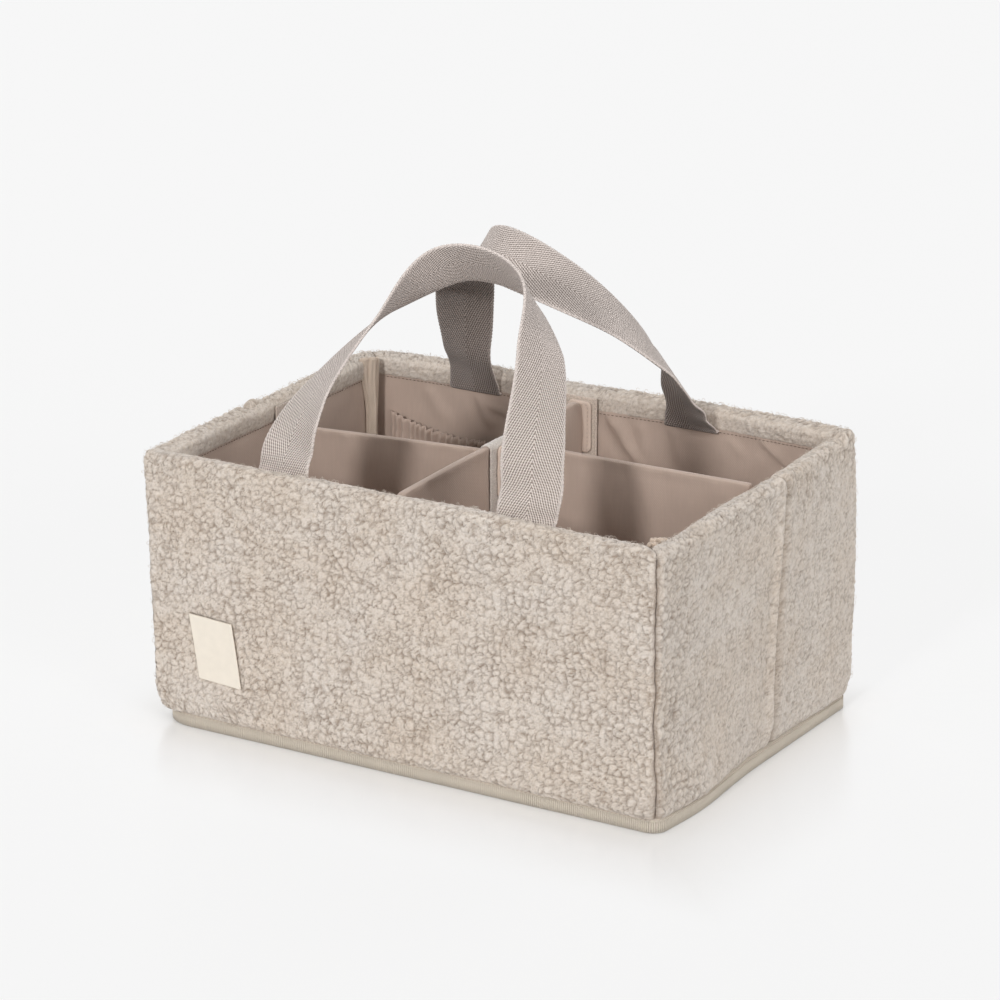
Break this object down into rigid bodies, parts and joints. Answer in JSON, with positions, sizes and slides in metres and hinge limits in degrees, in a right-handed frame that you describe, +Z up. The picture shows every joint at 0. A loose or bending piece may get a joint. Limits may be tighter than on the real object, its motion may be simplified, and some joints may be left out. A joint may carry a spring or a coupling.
{
  "type": "diaper caddy",
  "caption": "Open-topped soft fleece caddy with stiffened walls, a lift-out divider insert, a gathered inner pocket and twisted webbing carry handles.",
  "frame": {"origin": "on the floor under the middle of the caddy", "axes": "+Z up, +X along the length, the front wall with the label faces -Y"},
  "size_m": [0.38, 0.265, 0.3393],
  "materials": {
    "fleece": "curly pile",
    "cotton": "smooth matte weave",
    "webbing": "herringbone weave",
    "grosgrain": "ribbed tape",
    "hook_and_loop": "fuzzy tape",
    "canvas": "plain weave",
    "stiffener": "matte sheet",
    "label": "bare cotton patch",
    "elastic": "braided"
  },
  "bodies": {
    "caddy": {"front_left_shell": "fleece", "rear_right_shell": "fleece", "front_label": "label", "front_left_lining": "cotton", "rear_right_lining": "cotton", "front_wall_board": "stiffener", "rear_wall_board": "stiffener", "right_wall_front_board": "stiffener", "right_wall_rear_board": "stiffener", "left_wall_front_board": "stiffener", "left_wall_rear_board": "stiffener", "base_binding": "grosgrain", "base_cloth": "canvas", "floor_lining": "cotton", "base_front_board": "stiffener", "base_rear_board": "stiffener", "rear_left_seam_tape": "cotton", "front_right_seam_tape": "cotton", "front_wall_patch": "hook_and_loop", "right_wall_patch": "hook_and_loop", "rear_wall_patch": "hook_and_loop", "left_wall_patch": "hook_and_loop", "rear_pocket": "cotton", "pocket_elastic": "elastic", "front_handle_left_end": "webbing", "front_handle_right_end": "webbing", "rear_handle_left_end": "webbing", "rear_handle_right_end": "webbing"},
    "front_handle": {"front_handle": "webbing"},
    "rear_handle": {"rear_handle": "webbing"},
    "cross_divider": {"cross_divider_cover": "cotton", "cross_divider_board": "stiffener", "cross_divider_front_tab": "cotton", "cross_divider_rear_tab": "cotton", "crossing_loop_tape": "hook_and_loop"},
    "left_divider": {"left_divider_cover": "cotton", "left_divider_board": "stiffener", "left_divider_outer_tab": "cotton", "left_divider_inner_tab": "cotton"},
    "right_divider": {"right_divider_cover": "cotton", "right_divider_board": "stiffener", "right_divider_outer_tab": "cotton", "right_divider_inner_tab": "cotton"}
  },
  "joints": [
    {"name": "front_handle_swing", "type": "hinge", "parent": "caddy", "child": "front_handle", "pos_m": [0, -0.1172, 0.1915], "axis": [1, 0, 0], "range_deg": [-12, 100]},
    {"name": "rear_handle_swing", "type": "hinge", "parent": "caddy", "child": "rear_handle", "pos_m": [0, 0.1172, 0.1915], "axis": [-1, 0, 0], "range_deg": [-12, 105]},
    {"name": "cross_divider_lift", "type": "slide", "parent": "caddy", "child": "cross_divider", "axis": [0, 0, 1], "range_m": [0, 0.095]},
    {"name": "left_divider_lift", "type": "slide", "parent": "caddy", "child": "left_divider", "axis": [0, 0, 1], "range_m": [0, 0.19]},
    {"name": "right_divider_lift", "type": "slide", "parent": "caddy", "child": "right_divider", "axis": [0, 0, 1], "range_m": [0, 0.19]}
  ]
}
